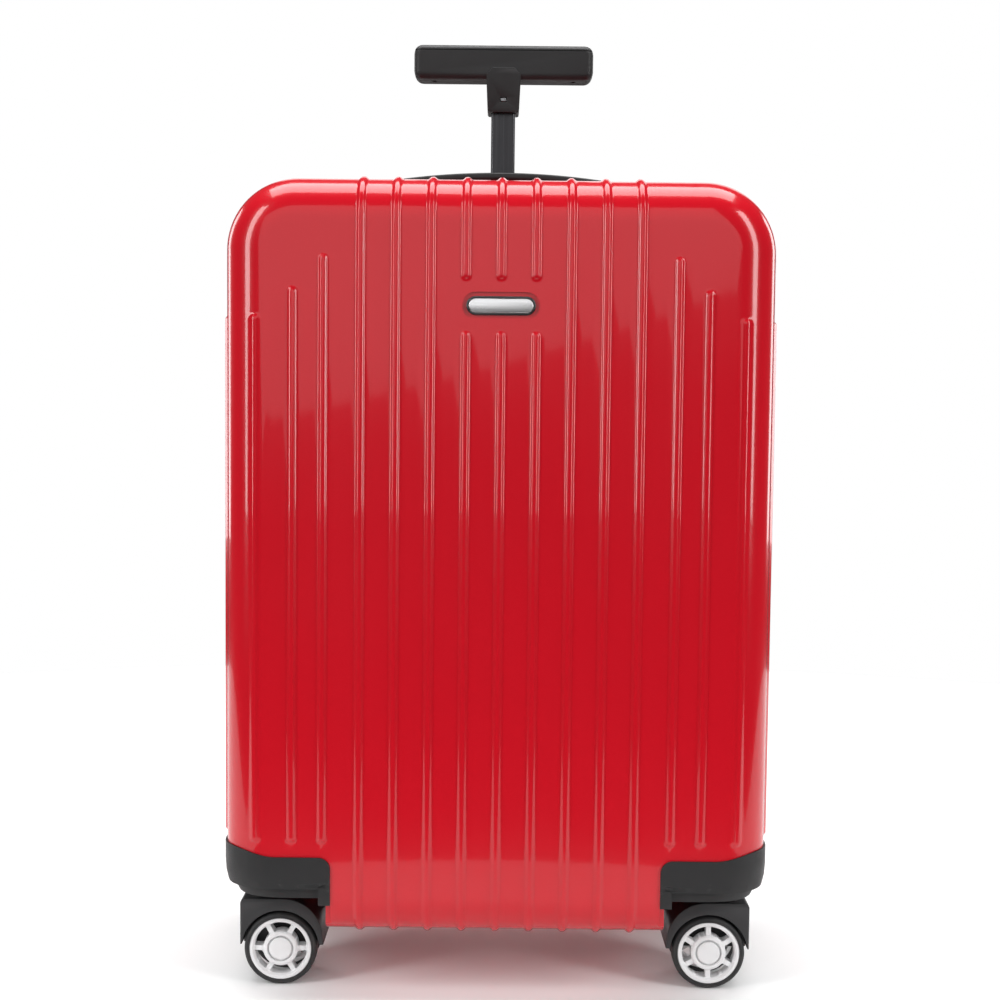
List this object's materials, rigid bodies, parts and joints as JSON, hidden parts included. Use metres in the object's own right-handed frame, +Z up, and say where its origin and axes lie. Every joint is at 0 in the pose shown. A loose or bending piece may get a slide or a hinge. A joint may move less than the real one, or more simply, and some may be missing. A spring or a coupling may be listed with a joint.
{
  "type": "hard shell suitcase",
  "caption": "Hard shell cabin suitcase with ribbed halves that open on a side hinge, a telescopic T-handle, carry handles, a lock and swivelling twin-wheel casters.",
  "frame": {"origin": "on the floor under the middle of the case, in the plane where the two shells meet", "axes": "+Z up, +X to the right seen from the front, -Y out of the front face"},
  "size_m": [0.3799, 0.2286, 0.6678],
  "materials": {
    "badge_metal": "brushed",
    "bezel": "gloss",
    "black_plastic": "matte",
    "button": "satin",
    "chrome": "polished",
    "divider_cloth": "matte",
    "hinge_steel": "satin",
    "lining": "matte",
    "rim": "satin",
    "shell": "gloss",
    "soft_grip": "satin",
    "tape": "matte",
    "tube": "satin",
    "tyre": "matte",
    "zip_metal": "satin"
  },
  "bodies": {
    "rear_half": {"rear_shell": "shell", "rear_lining": "lining", "rear_housing_left": "black_plastic", "rear_housing_right": "black_plastic", "rear_zip_tape": "tape", "rear_hinge_leaves": "hinge_steel", "handle_guide": "tube", "handle_tray": "black_plastic", "top_handle_sockets": "black_plastic", "side_handle_tray": "black_plastic", "lock_housing": "black_plastic"},
    "front_half": {"front_shell": "shell", "front_lining": "lining", "front_housing_left": "black_plastic", "front_housing_right": "black_plastic", "front_zip_tape": "tape", "front_hinge_leaves": "hinge_steel", "badge_bezel": "bezel", "badge_plate": "badge_metal"},
    "divider": {"divider": "divider_cloth"},
    "handle_middle": {"handle_middle_tube": "tube"},
    "handle_inner": {"handle_inner_tube": "tube", "grip_body": "soft_grip", "grip_cover": "soft_grip"},
    "grip_button": {"grip_button": "button"},
    "top_handle": {"top_handle": "soft_grip"},
    "side_handle": {"side_handle": "soft_grip"},
    "lock_release": {"lock_release": "button"},
    "lock_key": {"lock_key": "badge_metal"},
    "lock_dial_1": {"lock_dial_1": "button"},
    "lock_dial_2": {"lock_dial_2": "button"},
    "lock_dial_3": {"lock_dial_3": "button"},
    "zip_slider_upper": {"zip_slider_upper": "zip_metal"},
    "zip_pull_upper": {"zip_pull_upper": "zip_metal"},
    "zip_slider_lower": {"zip_slider_lower": "zip_metal"},
    "zip_pull_lower": {"zip_pull_lower": "zip_metal"},
    "caster_front_left": {"caster_fork_front_left": "black_plastic", "caster_pins_front_left": "chrome"},
    "wheel_front_left_a": {"wheel_rim_front_left_a": "rim", "wheel_tyre_front_left_a": "tyre"},
    "wheel_front_left_b": {"wheel_rim_front_left_b": "rim", "wheel_tyre_front_left_b": "tyre"},
    "caster_front_right": {"caster_fork_front_right": "black_plastic", "caster_pins_front_right": "chrome"},
    "wheel_front_right_a": {"wheel_rim_front_right_a": "rim", "wheel_tyre_front_right_a": "tyre"},
    "wheel_front_right_b": {"wheel_rim_front_right_b": "rim", "wheel_tyre_front_right_b": "tyre"},
    "caster_rear_left": {"caster_fork_rear_left": "black_plastic", "caster_pins_rear_left": "chrome"},
    "wheel_rear_left_a": {"wheel_rim_rear_left_a": "rim", "wheel_tyre_rear_left_a": "tyre"},
    "wheel_rear_left_b": {"wheel_rim_rear_left_b": "rim", "wheel_tyre_rear_left_b": "tyre"},
    "caster_rear_right": {"caster_fork_rear_right": "black_plastic", "caster_pins_rear_right": "chrome"},
    "wheel_rear_right_a": {"wheel_rim_rear_right_a": "rim", "wheel_tyre_rear_right_a": "tyre"},
    "wheel_rear_right_b": {"wheel_rim_rear_right_b": "rim", "wheel_tyre_rear_right_b": "tyre"}
  },
  "joints": [
    {"name": "case_opening", "type": "hinge", "parent": "rear_half", "child": "front_half", "pos_m": [-0.1874, 0, 0], "axis": [0, 0, 1], "range_deg": [-175, 0]},
    {"name": "divider_turn", "type": "hinge", "parent": "rear_half", "child": "divider", "pos_m": [-0.177, 0, 0], "axis": [0, 0, 1], "range_deg": [-87.5, 0]},
    {"name": "handle_lower_stage", "type": "slide", "parent": "rear_half", "child": "handle_middle", "axis": [0, 0, 1], "range_m": [0, 0.227]},
    {"name": "handle_upper_stage", "type": "slide", "parent": "handle_middle", "child": "handle_inner", "axis": [0, 0, 1], "range_m": [-0.098, 0.129]},
    {"name": "grip_button_press", "type": "slide", "parent": "handle_inner", "child": "grip_button", "axis": [0, 0, -1], "range_m": [0, 0.0035], "stiffness_N_per_m": 900, "springref_m": -0.002},
    {"name": "top_handle_lift", "type": "slide", "parent": "rear_half", "child": "top_handle", "axis": [0, 0, 1], "range_m": [0, 0.012], "stiffness_N_per_m": 60, "springref_m": -0.03},
    {"name": "side_handle_lift", "type": "slide", "parent": "rear_half", "child": "side_handle", "axis": [1, 0, 0], "range_m": [0, 0.012], "stiffness_N_per_m": 60, "springref_m": -0.03},
    {"name": "lock_dial_1_turn", "type": "hinge", "parent": "rear_half", "child": "lock_dial_1", "pos_m": [0.1852, 0.02, 0.35], "axis": [0, 0, 1], "continuous": true},
    {"name": "lock_dial_2_turn", "type": "hinge", "parent": "rear_half", "child": "lock_dial_2", "pos_m": [0.1852, 0.02, 0.3585], "axis": [0, 0, 1], "continuous": true},
    {"name": "lock_dial_3_turn", "type": "hinge", "parent": "rear_half", "child": "lock_dial_3", "pos_m": [0.1852, 0.02, 0.367], "axis": [0, 0, 1], "continuous": true},
    {"name": "lock_release_slide", "type": "slide", "parent": "rear_half", "child": "lock_release", "axis": [0, 0, 1], "range_m": [0, 0.004], "stiffness_N_per_m": 300, "springref_m": -0.002},
    {"name": "lock_key_turn", "type": "hinge", "parent": "rear_half", "child": "lock_key", "pos_m": [0.1888, 0.02, 0.332], "axis": [1, 0, 0], "range_deg": [0, 90]},
    {"name": "zip_slider_upper_run", "type": "slide", "parent": "rear_half", "child": "zip_slider_upper", "axis": [0, 0, 1], "range_m": [0, 0.07]},
    {"name": "zip_slider_lower_run", "type": "slide", "parent": "rear_half", "child": "zip_slider_lower", "axis": [0, 0, -1], "range_m": [0, 0.18]},
    {"name": "zip_pull_upper_turn", "type": "hinge", "parent": "zip_slider_upper", "child": "zip_pull_upper", "pos_m": [0.1886, 0, 0.424], "axis": [0, 1, 0], "range_deg": [0, 95]},
    {"name": "zip_pull_lower_turn", "type": "hinge", "parent": "zip_slider_lower", "child": "zip_pull_lower", "pos_m": [0.1886, 0, 0.292], "axis": [0, -1, 0], "range_deg": [0, 95]},
    {"name": "swivel_front_left", "type": "hinge", "parent": "front_half", "child": "caster_front_left", "pos_m": [-0.165, -0.0605, 0.05], "axis": [0, 0, -1], "continuous": true},
    {"name": "roll_front_left_a", "type": "hinge", "parent": "caster_front_left", "child": "wheel_front_left_a", "pos_m": [-0.147, -0.0605, 0.025], "axis": [0, 1, 0], "continuous": true},
    {"name": "roll_front_left_b", "type": "hinge", "parent": "caster_front_left", "child": "wheel_front_left_b", "pos_m": [-0.147, -0.0605, 0.025], "axis": [0, 1, 0], "continuous": true},
    {"name": "swivel_front_right", "type": "hinge", "parent": "front_half", "child": "caster_front_right", "pos_m": [0.165, -0.0605, 0.05], "axis": [0, 0, 1], "continuous": true},
    {"name": "roll_front_right_a", "type": "hinge", "parent": "caster_front_right", "child": "wheel_front_right_a", "pos_m": [0.147, -0.0605, 0.025], "axis": [0, 1, 0], "continuous": true},
    {"name": "roll_front_right_b", "type": "hinge", "parent": "caster_front_right", "child": "wheel_front_right_b", "pos_m": [0.147, -0.0605, 0.025], "axis": [0, 1, 0], "continuous": true},
    {"name": "swivel_rear_left", "type": "hinge", "parent": "rear_half", "child": "caster_rear_left", "pos_m": [-0.165, 0.0605, 0.05], "axis": [0, 0, -1], "continuous": true},
    {"name": "roll_rear_left_a", "type": "hinge", "parent": "caster_rear_left", "child": "wheel_rear_left_a", "pos_m": [-0.165, 0.0785, 0.025], "axis": [1, 0, 0], "continuous": true},
    {"name": "roll_rear_left_b", "type": "hinge", "parent": "caster_rear_left", "child": "wheel_rear_left_b", "pos_m": [-0.165, 0.0785, 0.025], "axis": [1, 0, 0], "continuous": true},
    {"name": "swivel_rear_right", "type": "hinge", "parent": "rear_half", "child": "caster_rear_right", "pos_m": [0.165, 0.0605, 0.05], "axis": [0, 0, 1], "continuous": true},
    {"name": "roll_rear_right_a", "type": "hinge", "parent": "caster_rear_right", "child": "wheel_rear_right_a", "pos_m": [0.165, 0.0785, 0.025], "axis": [1, 0, 0], "continuous": true},
    {"name": "roll_rear_right_b", "type": "hinge", "parent": "caster_rear_right", "child": "wheel_rear_right_b", "pos_m": [0.165, 0.0785, 0.025], "axis": [1, 0, 0], "continuous": true}
  ],
  "couplings": [
    {"joint": "divider_turn", "follows": "case_opening", "ratio": 0.5}
  ]
}
